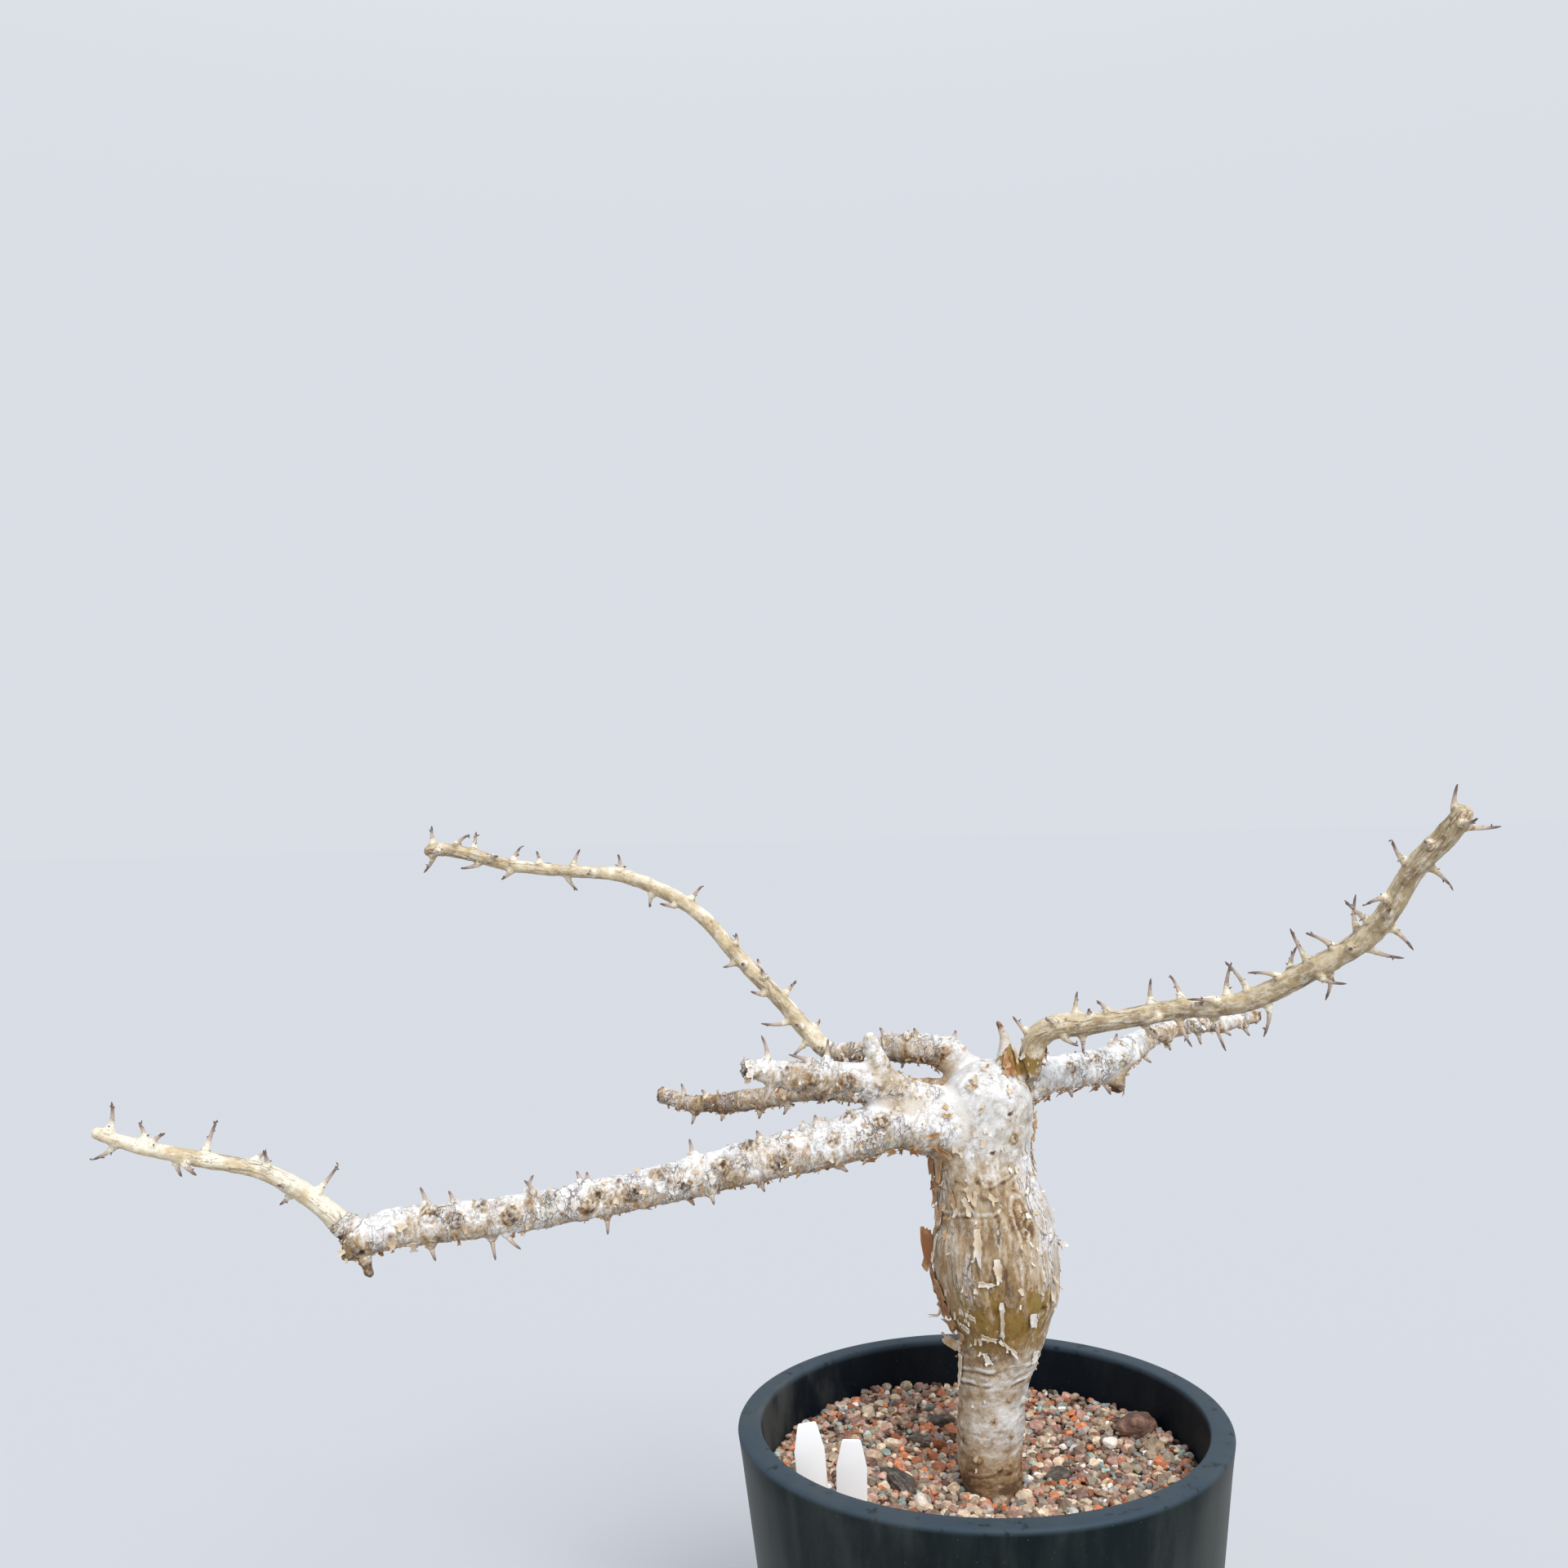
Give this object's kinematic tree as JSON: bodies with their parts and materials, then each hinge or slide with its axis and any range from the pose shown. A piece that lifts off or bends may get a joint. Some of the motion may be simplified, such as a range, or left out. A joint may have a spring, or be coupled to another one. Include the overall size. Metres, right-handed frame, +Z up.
{
  "type": "potted caudiciform shrub",
  "caption": "Leafless caudex shrub with a bottle-shaped trunk and low, wide, spiny limbs, standing in gravel in a round dark pot.",
  "frame": {"origin": "on the pot's axis, at the underside of its base", "axes": "+Z up along the pot's axis, X along the plant's spread with the long white limb towards -X, -Y towards the viewer"},
  "size_m": [0.6862, 0.2694, 0.5811],
  "materials": {
    "pot_plastic": "dark blue-grey plastic, dusty, paler on the rim",
    "gravel": "rounded grit of cream, tan, brick red, grey and dark brown grains",
    "old_bark": "white papery bark over ochre and golden layers, peeling, with dark scars",
    "young_bark": "smooth cream bark, spines with brown tips",
    "label_plastic": "blank white plastic",
    "lava_rock": "rough brown porous rock",
    "tan_rock": "smooth tan stone",
    "white_rock": "white pebble",
    "speckled_rock": "pale pebble with dark specks",
    "chip_wood": "weathered dark bark chip"
  },
  "bodies": {
    "root": {"pot": "pot_plastic", "grit": "gravel", "old_wood": "old_bark", "shoot_left": "young_bark", "shoot_upper_left": "young_bark", "shoot_right": "young_bark", "label_left": "label_plastic", "label_right": "label_plastic", "lava_stone": "lava_rock", "tan_stone": "tan_rock", "white_pebble": "white_rock", "speckled_pebble": "speckled_rock", "bark_chip_1": "chip_wood", "bark_chip_2": "chip_wood", "bark_chip_3": "chip_wood", "bark_chip_4": "chip_wood"}
  },
  "joints": []
}
